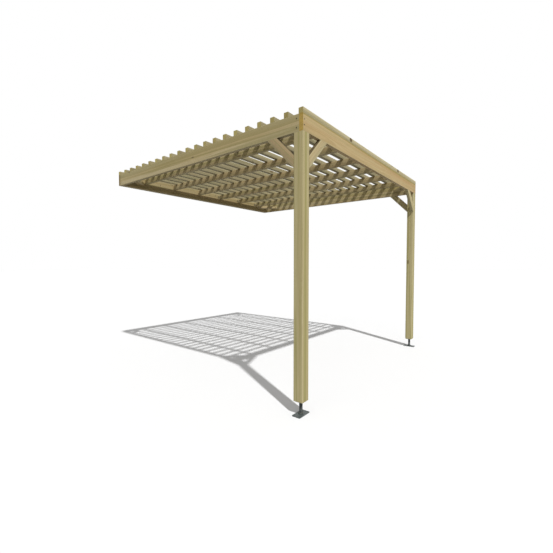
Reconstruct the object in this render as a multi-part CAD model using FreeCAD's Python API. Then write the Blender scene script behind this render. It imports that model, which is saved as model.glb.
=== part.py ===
import FreeCAD, Part
import collections
import math
import os

# Lean-to pergola: two posts on screw feet carry a slatted roof, whose back edge is bolted to a wall.
# Frame: X along the front, Y from the front face to the wall, Z up, origin on the ground below the box's middle.

Vector = FreeCAD.Vector
UP = Vector(0, 0, 1)
DOWN = Vector(0, 0, -1)
Screw = collections.namedtuple("Screw", "radius length head_radius head_height countersunk recess")

# Overall sizes, in millimetres
overall_width = 3000.0
overall_depth = 2968.0
clear_height = 2290.0
post_lift = 115.0

# Timber sections
post_width = 90.0
board_thickness = 38.0
beam_depth = 140.0
rafter_depth = 70.0
slat_width = 44.0
slat_height = 44.0
post_arris_radius = 4.0
board_arris_radius = 2.0

# Counts of repeated timbers
rafter_count = 6
slat_count = 21

# Mitred braces, which are all alike
brace_width = 75.0
brace_leg = 280.0
brace_rafter_gap = 7.0

# Angle brackets at the rafter ends
bracket_leg = 40.0
bracket_height = 40.0
bracket_sheet = 2.0
bracket_screw_offset = 24.0
bracket_screw_spread = 20.0

# Holes in the wall plate and the rear beam for wall anchors
wall_hole_radius = 5.5
wall_hole_spread = 70.0

# Foot: a plate with a boss, a threaded stem that turns in it, and a bush in the post end
plate_length = 150.0
plate_width = 80.0
plate_thickness = 6.0
plate_corner_radius = 8.0
plate_hole_radius = 5.5
plate_hole_edge = 15.0
boss_radius = 22.0
boss_height = 10.0
washer_radius = 20.0
washer_thickness = 2.0
stem_radius = 15.0
stem_reach = 110.0
stem_tip_chamfer = 2.0
journal_radius = 10.0
flats_across = 25.0
flats_height = 14.0
flats_lift = 4.0
foot_travel = 40.0
bush_radius = 20.0
bush_length = 70.0
flange_side = 76.0
flange_thickness = 4.0
bush_screw_edge = 10.0
ring_radius = 15.0
ring_thickness = 1.4
ring_gap = 8.0
ring_recess_depth = 3.0
groove_depth = 1.5

# Clearances
running_clearance = 0.05
seat_clearance = 0.1
hole_clearance = 0.15
washer_clearance = 0.3
ring_clearance = 2.0
ring_lift = 1.1
groove_play = 0.1
journal_lift = 0.6
hole_end_gap = 1.0
stem_end_gap = 25.0
stem_side_gap = 2.0
touch = 0.01

# Screws
tip_length = 5.0
slat_screw_radius = 2.5
slat_screw_head_radius = 5.0
slat_screw_head_height = 2.5
slat_screw_bite = 26.0
frame_screw_radius = 3.0
frame_screw_head_radius = 6.0
frame_screw_head_height = 3.0
frame_screw_bite = 42.0
core_screw_edge = 34.0
end_screw_edge = 48.0
brace_screw_radius = 3.0
brace_screw_head_radius = 6.0
brace_screw_head_height = 5.0
brace_screw_cover = 1.5
brace_screw_bite = 30.0
bracket_screw_radius = 2.0
bracket_screw_head_radius = 4.0
bracket_screw_head_height = 2.2
bracket_screw_bite = 24.0
bush_screw_radius = 2.5
bush_screw_head_radius = 4.8
bush_screw_head_height = 2.6
bush_screw_bite = 36.0

# Planes and lines that the timbers share
half_width = overall_width / 2
front_face = -overall_depth / 2
wall_face = overall_depth / 2
front_inner = front_face + board_thickness
wall_inner = wall_face - board_thickness
rear_inner = wall_inner - board_thickness
side_inner = half_width - board_thickness
side_line = half_width - board_thickness / 2
beam_top = clear_height + beam_depth
beam_middle = clear_height + beam_depth / 2
roof_top = beam_top + slat_height
post_line_x = half_width - post_width / 2
post_line_y = front_face + post_width / 2
post_end_chamfer = 0.75 * post_arris_radius

# The left plate reaches out beside its post and the right one before it, and the origin is the whole box's middle
plate_overhang = plate_length / 2 - post_width / 2
frame_shift = Vector(plate_overhang / 2, plate_overhang / 2, 0)

# The outer rafters clear the corner braces, and the others share the space between them evenly
outer_rafter = side_inner - brace_leg - brace_rafter_gap - board_thickness / 2
rafter_pitch = 2 * outer_rafter / (rafter_count - 1)
rafter_lines = [-outer_rafter + i * rafter_pitch for i in range(rafter_count)]
slat_pitch = (overall_depth - slat_width) / (slat_count - 1)
slat_lines = [front_face + slat_width / 2 + i * slat_pitch for i in range(slat_count)]

# Heights in the foot, from the ground up
boss_top = plate_thickness + boss_height
shoulder_height = boss_top + washer_thickness
stem_top = post_lift + stem_reach
bush_top = post_lift + bush_length
stem_bore_top = stem_top + foot_travel + stem_end_gap

# Brace ends: how far a mitre reaches along its carrier, and how deep a screw head is sunk in it
mitre_reach = brace_width * math.sqrt(2)
brace_screw_seat = mitre_reach / 2 - brace_screw_head_radius - brace_screw_head_height - brace_screw_cover

SIDES = {"left": -1, "right": 1}
foot_turns = {"left": 180, "right": 90}

# Solids before drilling, the tools that drill them, and the fasteners of each group
blanks = {}
drillings = collections.defaultdict(list)
fasteners = collections.defaultdict(list)


# Basic shapes

def box(x_ends, y_ends, z_ends):
    """Upright box between two places on each axis, given in any order."""
    low = Vector(min(x_ends), min(y_ends), min(z_ends))
    high = Vector(max(x_ends), max(y_ends), max(z_ends))
    size = high - low
    return Part.makeBox(size.x, size.y, size.z, low)


def edges_along(shape, direction):
    """Straight edges of a shape that run along a direction."""
    found = []
    for edge in shape.Edges:
        run = edge.Vertexes[-1].Point - edge.Vertexes[0].Point
        if run.Length > 0 and abs(run.normalize().dot(direction)) > 0.999:
            found.append(edge)
    return found


def timber(x_ends, y_ends, z_ends, grain):
    """Planed board whose long edges are eased."""
    board = box(x_ends, y_ends, z_ends)
    return board.makeFillet(board_arris_radius, edges_along(board, grain))


def revolved(profile):
    """Solid turned about Z from (radius, height) points."""
    points = [Vector(radius, 0, height) for radius, height in profile]
    face = Part.Face(Part.makePolygon(points + points[:1]))
    return face.revolve(Vector(), UP, 360)


def cylinder(radius, low, high):
    """Upright cylinder about Z between two heights."""
    return Part.makeCylinder(radius, high - low, Vector(0, 0, low))


# Screws and their holes

def screw_solid(screw):
    """Screw that points down, with its flush face or its head's seat at the origin."""
    head_top = 0 if screw.countersunk else screw.head_height
    head_end = -screw.head_height if screw.countersunk else 0
    profile = [(0, head_top), (screw.head_radius, head_top)]
    if not screw.countersunk:
        profile.append((screw.head_radius, 0))
    profile += [(screw.radius, head_end), (screw.radius, tip_length - screw.length), (0, -screw.length)]
    return revolved(profile)


def screw_hole(screw):
    """Tool for the hole of a screw, with the recess that its head lies in."""
    radius = screw.radius + hole_clearance
    tool = cylinder(radius, -screw.length - hole_end_gap, 0)
    if screw.countersunk:
        mouth = screw.head_radius + hole_clearance
        cone = Part.makeCone(radius, mouth, screw.head_height, Vector(0, 0, -screw.head_height))
        tool = tool.fuse(cone)
    if screw.recess:
        tool = tool.fuse(cylinder(screw.head_radius + hole_clearance, 0, screw.recess))
    return tool.removeSplitter()


def drive(group, screw, place, direction, nodes):
    """Drive a screw at a place, and drill every timber or fitting that it goes through."""
    turn = FreeCAD.Placement(place, FreeCAD.Rotation(DOWN, direction))
    solid = screw_solid(screw)
    solid.Placement = turn
    fasteners[group].append(solid)
    tool = screw_hole(screw)
    tool.Placement = turn
    for node in nodes:
        drillings[node].append(tool)


slat_screw = Screw(slat_screw_radius, slat_height + slat_screw_bite, slat_screw_head_radius,
                   slat_screw_head_height, True, 0)
frame_screw = Screw(frame_screw_radius, board_thickness + frame_screw_bite, frame_screw_head_radius,
                    frame_screw_head_height, True, 0)
brace_screw = Screw(brace_screw_radius, brace_screw_seat + brace_screw_bite, brace_screw_head_radius,
                    brace_screw_head_height, False, brace_width)
bracket_screw = Screw(bracket_screw_radius, bracket_sheet + bracket_screw_bite, bracket_screw_head_radius,
                      bracket_screw_head_height, False, 0)
bush_screw = Screw(bush_screw_radius, flange_thickness + bush_screw_bite, bush_screw_head_radius,
                   bush_screw_head_height, True, 0)


# Posts and beams

def post(side):
    """Post with a notched head: a core stands up behind the two beams that rest on its shoulders."""
    outer = side * half_width
    inner = side * (half_width - post_width)
    back = front_face + post_width
    solid = box((outer, inner), (front_face, back), (post_lift, beam_top))
    solid = solid.makeFillet(post_arris_radius, edges_along(solid, UP))
    end_edges = [edge for edge in solid.Edges if edge.BoundBox.ZMax < post_lift + touch]
    solid = solid.makeChamfer(post_end_chamfer, end_edges)
    front_notch = box((outer, inner), (front_face, front_inner), (clear_height, beam_top))
    side_notch = box((outer, side * side_inner), (front_face, back), (clear_height, beam_top))
    centre = Vector(side * post_line_x, post_line_y, 0)
    bush_bore = cylinder(bush_radius + seat_clearance, post_lift, bush_top)
    stem_bore = cylinder(stem_radius + stem_side_gap, post_lift, stem_bore_top)
    bush_bore.translate(centre)
    stem_bore.translate(centre)
    return solid.cut([front_notch, side_notch, bush_bore, stem_bore])


def make_frame():
    """Posts, front beam, wall plate, the two side beams between them, and the rear beam between those."""
    beam_heights = (clear_height, beam_top)
    full_width = (-half_width, half_width)
    inner_width = (-side_inner, side_inner)
    x_axis = Vector(1, 0, 0)
    y_axis = Vector(0, 1, 0)
    blanks["front_beam"] = timber(full_width, (front_face, front_inner), beam_heights, x_axis)
    blanks["wall_plate"] = timber(full_width, (wall_inner, wall_face), beam_heights, x_axis)
    blanks["rear_beam"] = timber(inner_width, (rear_inner, wall_inner), beam_heights, x_axis)
    for name, side in SIDES.items():
        blanks[name + "_post"] = post(side)
        across = (side * half_width, side * side_inner)
        blanks[name + "_side_beam"] = timber(across, (front_inner, wall_inner), beam_heights, y_axis)


def fix_frame():
    """Screws at the four corners of the frame, in the post heads and in the rear beam's ends."""
    core_line = front_face + (board_thickness + post_width) / 2
    rear_line = rear_inner + board_thickness / 2
    for name, side in SIDES.items():
        beam = name + "_side_beam"
        for edge in (core_screw_edge, beam_depth - core_screw_edge):
            place = Vector(side * half_width, core_line, clear_height + edge)
            drive("frame_screws", frame_screw, place, Vector(-side, 0, 0), [beam, name + "_post"])
            place = Vector(side * half_width, rear_line, clear_height + edge)
            drive("frame_screws", frame_screw, place, Vector(-side, 0, 0), [beam, "rear_beam"])
        for edge in (end_screw_edge, beam_depth - end_screw_edge):
            height = clear_height + edge
            place = Vector(side * side_line, front_face, height)
            drive("frame_screws", frame_screw, place, Vector(0, 1, 0), ["front_beam", beam])
            place = Vector(side * side_line, wall_face, height)
            drive("frame_screws", frame_screw, place, Vector(0, -1, 0), ["wall_plate", beam])


def drill_for_anchors():
    """Through holes for wall anchors, in pairs in the first, middle and last bays."""
    bays = [(a + b) / 2 for a, b in zip(rafter_lines, rafter_lines[1:])]
    for x in (bays[0], bays[len(bays) // 2], bays[-1]):
        for lift in (-wall_hole_spread / 2, wall_hole_spread / 2):
            place = Vector(x, rear_inner, beam_middle + lift)
            hole = Part.makeCylinder(wall_hole_radius, wall_face - rear_inner, place, Vector(0, 1, 0))
            for node in ("rear_beam", "wall_plate"):
                drillings[node].append(hole)


# Rafters and slats

def carrier_at(slat, line):
    """Name of the timber that lies below a slat at one of the screw lines."""
    if slat == 0:
        return "front_beam"
    if slat == slat_count - 1:
        return "wall_plate"
    if abs(line) == side_line:
        return "left_side_beam" if line < 0 else "right_side_beam"
    return f"rafter_{rafter_lines.index(line) + 1}"


def make_roof():
    """Rafters between the front beam and the rear beam, and slats screwed down across them."""
    half_board = board_thickness / 2
    for number, line in enumerate(rafter_lines, 1):
        across = (line - half_board, line + half_board)
        heights = (beam_top - rafter_depth, beam_top)
        blanks[f"rafter_{number}"] = timber(across, (front_inner, rear_inner), heights, Vector(0, 1, 0))
    screw_lines = [-side_line] + rafter_lines + [side_line]
    for slat, middle in enumerate(slat_lines):
        name = f"slat_{slat + 1:02d}"
        across = (middle - slat_width / 2, middle + slat_width / 2)
        blanks[name] = timber((-half_width, half_width), across, (beam_top, roof_top), Vector(1, 0, 0))
        for line in screw_lines:
            place = Vector(line, middle, roof_top)
            drive("slat_screws", slat_screw, place, DOWN, [name, carrier_at(slat, line)])


# Rafter brackets

def make_brackets():
    """Angle brackets at both ends of each rafter, on the side that faces the middle of the roof."""
    low = beam_top - (rafter_depth + bracket_height) / 2
    for number, line in enumerate(rafter_lines, 1):
        inward = -1 if line > 0 else 1
        face = line + inward * board_thickness / 2
        ends = (("front_beam", front_inner, 1), ("rear_beam", rear_inner, -1))
        for beam, seat, along in ends:
            outline = [(0, 0), (bracket_leg, 0), (bracket_leg, bracket_sheet), (bracket_sheet, bracket_sheet),
                       (bracket_sheet, bracket_leg), (0, bracket_leg)]
            points = [Vector(face + inward * u, seat + along * v, low) for u, v in outline]
            angle = Part.Face(Part.makePolygon(points + points[:1])).extrude(Vector(0, 0, bracket_height))
            fasteners["rafter_brackets"].append(angle)
            for lift in (-bracket_screw_spread / 2, bracket_screw_spread / 2):
                height = low + bracket_height / 2 + lift
                place = Vector(face + inward * bracket_screw_offset, seat + along * bracket_sheet, height)
                drive("bracket_screws", bracket_screw, place, Vector(0, -along, 0), ["rafter_brackets", beam])
                place = Vector(face + inward * bracket_sheet, seat + along * bracket_screw_offset, height)
                drive("bracket_screws", bracket_screw, place, Vector(-inward, 0, 0),
                      ["rafter_brackets", f"rafter_{number}"])


# Braces

def make_brace(name, corner, along, away, along_carrier, away_carrier):
    """Mitred brace across a corner, screwed square to the two timbers that meet there.

    The corner lies in the brace's middle plane. Its legs run along two unit vectors from there.
    """
    across = along.cross(away) * board_thickness
    reach = brace_leg - mitre_reach
    points = [along * brace_leg, along * reach, away * reach, away * brace_leg]
    points = [corner + point - across / 2 for point in points]
    solid = Part.Face(Part.makePolygon(points + points[:1])).extrude(across)
    slope = (along - away).normalize()
    blanks[name] = solid.makeFillet(board_arris_radius, edges_along(solid, slope))
    middle = brace_leg - mitre_reach / 2
    place = corner + along * middle + away * brace_screw_seat
    drive("brace_screws", brace_screw, place, away * -1, [name, along_carrier])
    place = corner + away * middle + along * brace_screw_seat
    drive("brace_screws", brace_screw, place, along * -1, [name, away_carrier])


def make_braces():
    """Knee braces under the beams at each post, and flat braces in the roof's four corners."""
    for name, side in SIDES.items():
        inward = Vector(-side, 0, 0)
        back = Vector(0, 1, 0)
        beam = name + "_side_beam"
        post_name = name + "_post"
        corner = Vector(side * (half_width - post_width), front_face + board_thickness / 2, clear_height)
        make_brace(name + "_front_knee_brace", corner, inward, DOWN, "front_beam", post_name)
        corner = Vector(side * side_line, front_face + post_width, clear_height)
        make_brace(name + "_side_knee_brace", corner, back, DOWN, beam, post_name)
        corner = Vector(side * side_inner, front_inner, beam_middle)
        make_brace(name + "_front_corner_brace", corner, inward, back, "front_beam", beam)
        corner = Vector(side * side_inner, rear_inner, beam_middle)
        make_brace(name + "_wall_corner_brace", corner, inward, back * -1, "rear_beam", beam)


# Feet

def base_plate():
    """Ground plate with a boss for the stem, anchor holes and a recess for the retaining ring."""
    half_length = plate_length / 2
    half_plate = plate_width / 2
    solid = box((-half_length, half_length), (-half_plate, half_plate), (0, plate_thickness))
    solid = solid.makeFillet(plate_corner_radius, edges_along(solid, UP))
    solid = solid.fuse(cylinder(boss_radius, plate_thickness, boss_top))
    tools = [cylinder(journal_radius + running_clearance, 0, boss_top),
             cylinder(ring_radius + ring_clearance, 0, ring_recess_depth)]
    for x in (plate_hole_edge - half_length, half_length - plate_hole_edge):
        for y in (plate_hole_edge - half_plate, half_plate - plate_hole_edge):
            hole = cylinder(plate_hole_radius, 0, plate_thickness)
            hole.translate(Vector(x, y, 0))
            tools.append(hole)
    return solid.cut(tools).removeSplitter()


def foot_stem():
    """Threaded stem with a journal and a ring groove below its shoulder, and flats for a spanner."""
    groove_low = ring_lift - groove_play
    groove_high = ring_lift + ring_thickness + groove_play
    groove_radius = journal_radius - groove_depth
    solid = revolved([
        (0, journal_lift), (groove_radius, journal_lift), (journal_radius - stem_tip_chamfer / 2, journal_lift),
        (journal_radius - stem_tip_chamfer / 2, groove_low), (groove_radius, groove_low),
        (groove_radius, groove_high), (journal_radius, groove_high), (journal_radius, shoulder_height),
        (stem_radius, shoulder_height), (stem_radius, stem_top - stem_tip_chamfer),
        (stem_radius - stem_tip_chamfer, stem_top), (0, stem_top)])
    low = shoulder_height + flats_lift
    heights = (low, low + flats_height)
    outside = 2 * stem_radius
    cuts = [box((-outside, outside), (sign * flats_across / 2, sign * outside), heights) for sign in (-1, 1)]
    return solid.cut(cuts)


def retaining_ring():
    """Open spring ring in the groove below the plate."""
    inner = journal_radius - groove_depth + running_clearance
    low = ring_lift
    high = ring_lift + ring_thickness
    ring = cylinder(ring_radius, low, high).cut(cylinder(inner, low, high))
    opening = box((0, 2 * ring_radius), (-ring_gap / 2, ring_gap / 2), (low, high))
    return ring.cut(opening)


def thrust_washer():
    """Flat washer between the boss and the stem's shoulder."""
    outer = cylinder(washer_radius, boss_top, shoulder_height)
    return outer.cut(cylinder(journal_radius + washer_clearance, boss_top, shoulder_height))


def foot_bush():
    """Threaded bush in the post end, with a square flange below it."""
    half_side = flange_side / 2
    flange_low = post_lift - flange_thickness
    solid = box((-half_side, half_side), (-half_side, half_side), (flange_low, post_lift))
    solid = solid.makeFillet(plate_corner_radius, edges_along(solid, UP))
    solid = solid.fuse(cylinder(bush_radius, post_lift, bush_top))
    return solid.cut(cylinder(stem_radius + running_clearance, flange_low, bush_top)).removeSplitter()


def make_feet():
    """One foot below each post, with the screws that hold its bush."""
    pieces = {"base_plate": base_plate, "thrust_washer": thrust_washer, "foot_stem": foot_stem,
              "retaining_ring": retaining_ring, "foot_bush": foot_bush}
    screw_reach = flange_side / 2 - bush_screw_edge
    for name, side in SIDES.items():
        centre = Vector(side * post_line_x, post_line_y, 0)
        for piece, maker in pieces.items():
            solid = maker()
            solid.rotate(Vector(), UP, foot_turns[name])
            solid.translate(centre)
            blanks[f"{name}_{piece}"] = solid
        for x in (-screw_reach, screw_reach):
            for y in (-screw_reach, screw_reach):
                place = centre + Vector(x, y, post_lift - flange_thickness)
                drive("bush_screws", bush_screw, place, UP, [name + "_foot_bush", name + "_post"])


# Drilling and export

def finish():
    """Drill the blanks and write one file for each piece, or for each group of like fasteners."""
    os.makedirs("parts", exist_ok=True)
    shapes = dict(blanks)
    for group, solids in fasteners.items():
        shapes[group] = Part.makeCompound(solids)
    for node, tools in drillings.items():
        shapes[node] = shapes[node].cut(tools)
    for node, shape in shapes.items():
        solids = [solid for solid in shape.Solids]
        piece = solids[0] if len(solids) == 1 else Part.makeCompound(solids)
        piece.translate(frame_shift)
        piece.exportStep(f"parts/{node}.step")
        print(node, len(solids), "solids", round(piece.Volume / 1000, 1), "cm3", piece.isValid())


make_frame()
fix_frame()
drill_for_anchors()
make_roof()
make_brackets()
make_braces()
make_feet()
finish()
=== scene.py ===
import math

import bmesh
import bpy
from mathutils import Matrix, Vector


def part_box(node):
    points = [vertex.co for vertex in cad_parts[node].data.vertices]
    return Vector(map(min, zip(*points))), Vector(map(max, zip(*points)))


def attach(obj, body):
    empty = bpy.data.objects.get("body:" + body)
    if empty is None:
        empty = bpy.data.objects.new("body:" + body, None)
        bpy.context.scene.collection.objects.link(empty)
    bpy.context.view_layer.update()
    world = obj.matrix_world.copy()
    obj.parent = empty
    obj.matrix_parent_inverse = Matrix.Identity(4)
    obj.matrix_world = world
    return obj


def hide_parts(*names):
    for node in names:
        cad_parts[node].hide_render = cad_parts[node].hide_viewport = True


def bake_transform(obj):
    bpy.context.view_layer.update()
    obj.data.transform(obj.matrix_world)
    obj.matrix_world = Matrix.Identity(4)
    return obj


bl_info = {
    "name": "Lean-to pergola",
    "version": (1, 0, 0),
    "blender": (4, 5, 0),
    "location": "3D View > Sidebar > Pergola",
    "description": "Dresses a lean-to pergola: treated timber, screws, brackets and screw feet",
    "category": "Object",
}

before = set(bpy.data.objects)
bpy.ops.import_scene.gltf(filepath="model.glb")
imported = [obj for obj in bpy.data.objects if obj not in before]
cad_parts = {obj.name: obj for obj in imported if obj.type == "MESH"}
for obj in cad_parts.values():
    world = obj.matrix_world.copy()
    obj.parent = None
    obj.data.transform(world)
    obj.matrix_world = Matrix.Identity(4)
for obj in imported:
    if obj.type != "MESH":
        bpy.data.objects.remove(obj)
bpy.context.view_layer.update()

MM = 0.001
SMOOTH_ANGLE = math.radians(40)
X_AXIS = Vector((1, 0, 0))
Y_AXIS = Vector((0, 1, 0))
Z_AXIS = Vector((0, 0, 1))
DOWN = Vector((0, 0, -1))
SIDES = {"left": -1, "right": 1}
# A face whose normal lies this near the grain is a sawn end
SAWN = 0.6


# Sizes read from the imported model

def numbered(start):
    """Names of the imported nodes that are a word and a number, in order."""
    return sorted(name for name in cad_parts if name.startswith(start) and name[-1].isdigit())


def middle(node):
    """Middle of a node's box."""
    low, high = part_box(node)
    return (low + high) / 2


def extent(node):
    """Size of a node's box along X, Y and Z."""
    low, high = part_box(node)
    return high - low


SLATS = numbered("slat_")
RAFTERS = numbered("rafter_")
BRACES = sorted(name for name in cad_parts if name.endswith("_brace"))
SLAT_SIZE = extent(SLATS[0])
RAFTER_SIZE = extent(RAFTERS[0])
BOARD = RAFTER_SIZE.x
BRACE_LEG = extent("left_front_knee_brace").x
ROOF_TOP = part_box(SLATS[0])[1].z
BEAM_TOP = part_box("front_beam")[1].z
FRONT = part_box("front_beam")[0].y
FRONT_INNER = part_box("front_beam")[1].y
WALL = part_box("wall_plate")[1].y
REAR_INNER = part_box("rear_beam")[0].y
SCREW_LINES = [middle(name).x for name in ("left_side_beam", *RAFTERS, "right_side_beam")]


# Settings that a user may change

class PergolaTimberSettings(bpy.types.PropertyGroup):
    """Sizes and colours of the timber."""

    arris: bpy.props.FloatProperty(
        name="Eased edge", description="Radius of the boards' long edges",
        default=2.0 * MM, unit="LENGTH")
    brace_width: bpy.props.FloatProperty(
        name="Brace width", description="Width of the mitred braces", default=75.0 * MM, unit="LENGTH")
    ring_width: bpy.props.FloatProperty(
        name="Growth ring", description="Width of one year's growth", default=6.5 * MM, unit="LENGTH")
    seed: bpy.props.IntProperty(
        name="Seed", description="Picks which length of tree each board was cut from", default=7)
    brace_seed: bpy.props.IntProperty(
        name="Brace seed", description="Picks which length of tree each brace was cut from", default=46)


class PergolaFixingSettings(bpy.types.PropertyGroup):
    """Sizes of the screws and brackets."""

    slat_head: bpy.props.FloatProperty(
        name="Slat screw head", description="Radius of a slat screw's head", default=5.0 * MM, unit="LENGTH")
    frame_head: bpy.props.FloatProperty(
        name="Frame screw head", description="Radius of a frame screw's head", default=6.0 * MM, unit="LENGTH")
    bracket_head: bpy.props.FloatProperty(
        name="Bracket screw head", description="Radius of a bracket screw's head",
        default=4.0 * MM, unit="LENGTH")
    bracket_leg: bpy.props.FloatProperty(
        name="Bracket leg", description="Length of each leg of a rafter bracket",
        default=40.0 * MM, unit="LENGTH")
    bracket_sheet: bpy.props.FloatProperty(
        name="Bracket sheet", description="Thickness of the bracket's sheet", default=2.0 * MM, unit="LENGTH")


class PergolaFootSettings(bpy.types.PropertyGroup):
    """Sizes of the screw feet."""

    pitch: bpy.props.FloatProperty(
        name="Thread pitch", description="Rise of the thread in one turn", default=3.5 * MM, unit="LENGTH")
    thread_depth: bpy.props.FloatProperty(
        name="Thread depth", description="Depth of the thread's groove", default=1.9 * MM, unit="LENGTH")
    edge: bpy.props.FloatProperty(
        name="Plate edge", description="Bevel of the plate's edges", default=0.8 * MM, unit="LENGTH")


class PergolaStageSettings(bpy.types.PropertyGroup):
    """Light, floor and camera."""

    key: bpy.props.FloatProperty(name="Key light", description="Strength of the key light", default=3.1)
    fill: bpy.props.FloatProperty(name="Fill light", description="Strength of the even fill light", default=0.42)
    side: bpy.props.FloatProperty(
        name="Side light", description="Strength of the broad light from the left", default=0.35)
    softness: bpy.props.FloatProperty(
        name="Softness", description="Angle that the key light fills", default=math.radians(1.5), subtype="ANGLE")


# Helpers for nodes and meshes

SMOOTH = {"interpolation_type": "SMOOTHSTEP"}
CUT = {"operation": "DIFFERENCE", "solver": "EXACT"}


def linear(hex_colour):
    """Linear colour with alpha from an sRGB hex value."""
    channels = [int(hex_colour[i:i + 2], 16) / 255 for i in (1, 3, 5)]
    return (*[c / 12.92 if c <= 0.04045 else ((c + 0.055) / 1.055) ** 2.4 for c in channels], 1.0)


def feed(tree, node, inputs):
    """Link or set a node's inputs, in a list in order or by name, and link what is in a list among them in turn.

    A node stands for its first output in use.
    """
    for key, value in inputs.items() if isinstance(inputs, dict) else enumerate(inputs):
        for source in value if isinstance(value, list) else [value]:
            if isinstance(source, bpy.types.Node):
                source = next(output for output in source.outputs if output.enabled)
            if isinstance(source, bpy.types.NodeSocket):
                tree.links.new(source, node.inputs[key])
            else:
                node.inputs[key].default_value = source


def add(tree, kind, inputs=(), operation=None, **settings):
    """Add a node, set its operation and its other options, and feed its inputs."""
    node = tree.nodes.new(kind)
    if operation:
        node.operation = operation
    for key, value in settings.items():
        setattr(node, key, value)
    feed(tree, node, inputs)
    return node


def new_tree(name, inputs):
    """Geometry tree with named inputs, given as name and socket type."""
    tree = bpy.data.node_groups.new(name, "GeometryNodeTree")
    tree.interface.new_socket("Geometry", in_out="INPUT", socket_type="NodeSocketGeometry")
    for label, kind in inputs.items():
        tree.interface.new_socket(label, in_out="INPUT", socket_type="NodeSocket" + kind)
    tree.interface.new_socket("Geometry", in_out="OUTPUT", socket_type="NodeSocketGeometry")
    return tree, tree.nodes.new("NodeGroupInput").outputs


def end_tree(tree, copies, material):
    """Close a tree: realise the copies, even out the shading and set the material."""
    real = add(tree, "GeometryNodeRealizeInstances", {"Geometry": copies})
    smooth = add(tree, "GeometryNodeSetShadeSmooth", {"Geometry": real}, domain="FACE")
    angle = add(tree, "GeometryNodeInputMeshEdgeAngle")
    sharp = add(tree, "FunctionNodeCompare", [angle, SMOOTH_ANGLE], "GREATER_THAN")
    edges = add(tree, "GeometryNodeSetShadeSmooth", {"Geometry": smooth, "Selection": sharp, "Shade Smooth": False},
                domain="EDGE")
    finish = add(tree, "GeometryNodeSetMaterial", {"Geometry": edges, "Material": material})
    add(tree, "NodeGroupOutput", {"Geometry": finish})
    return tree


def placed(name, data):
    """Object at the origin, in the scene."""
    thing = bpy.data.objects.new(name, data)
    bpy.context.scene.collection.objects.link(thing)
    return thing


def baked(piece, modifier):
    """Keep what a modifier makes as the piece's own plain mesh, and take the modifier off."""
    evaluated = piece.evaluated_get(bpy.context.evaluated_depsgraph_get())
    result = bpy.data.meshes.new_from_object(evaluated)
    piece.modifiers.remove(modifier)
    piece.data = result
    return piece


def grow(name, tree, points, values):
    """Run a tree on some points, each a place and a turn, and keep the result as a plain mesh."""
    points = list(points)
    mesh = bpy.data.meshes.new(name)
    mesh.from_pydata([place for place, turn in points], [], [])
    turns = mesh.attributes.new("turn", "FLOAT_VECTOR", "POINT")
    for item, (place, turn) in zip(turns.data, points):
        item.vector = turn.to_euler()
    piece = placed(name, mesh)
    maker = piece.modifiers.new("Make", "NODES")
    maker.node_group = tree
    for socket in tree.interface.items_tree:
        if socket.in_out == "INPUT" and socket.name in values:
            maker[socket.identifier] = values[socket.name]
    return baked(piece, maker)


def turned(x, y):
    """Turn that points a shape's X and Y axes along two directions."""
    return Matrix((x, y, x.cross(y))).transposed().to_quaternion()


def facing(direction):
    """Turn that points a screw, made with its tip down, along a direction."""
    return DOWN.rotation_difference(direction)


def settle(piece, body, slot, nodes):
    """Say what a finished piece rides on and hide the nodes that it stands for. The slot is not used."""
    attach(piece, body)
    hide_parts(*nodes)


def merged_copy(node):
    """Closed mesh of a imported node, with its sharp edges marked."""
    shape = bmesh.new()
    shape.from_mesh(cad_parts[node].data)
    bmesh.ops.remove_doubles(shape, verts=shape.verts, dist=0.001 * MM)
    mark_sharp(shape)
    return shape


def mark_sharp(shape):
    """Shade a mesh smooth, apart from its sharp edges."""
    for face in shape.faces:
        face.smooth = True
    for edge in shape.edges:
        edge.smooth = len(edge.link_faces) == 2 and edge.calc_face_angle(math.pi) < SMOOTH_ANGLE


def object_from(shape, name):
    """Object at the origin from a built mesh."""
    mesh = bpy.data.meshes.new(name)
    shape.to_mesh(mesh)
    shape.free()
    return placed(name, mesh)


# Materials

def new_material(name):
    """Material with its tree and its shader."""
    material = bpy.data.materials.new(name)
    material.use_nodes = True
    return material, material.node_tree, material.node_tree.nodes["Principled BSDF"]


def drawn_noise(tree, place, stretch, detail, roughness=0.5):
    """Noise drawn out along the grain, by its changes in a metre along, across and up the board."""
    spot = add(tree, "ShaderNodeVectorMath", [place, stretch], "MULTIPLY")
    return add(tree, "ShaderNodeTexNoise", {"Vector": spot, "Scale": 1.0, "Detail": detail, "Roughness": roughness})


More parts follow.
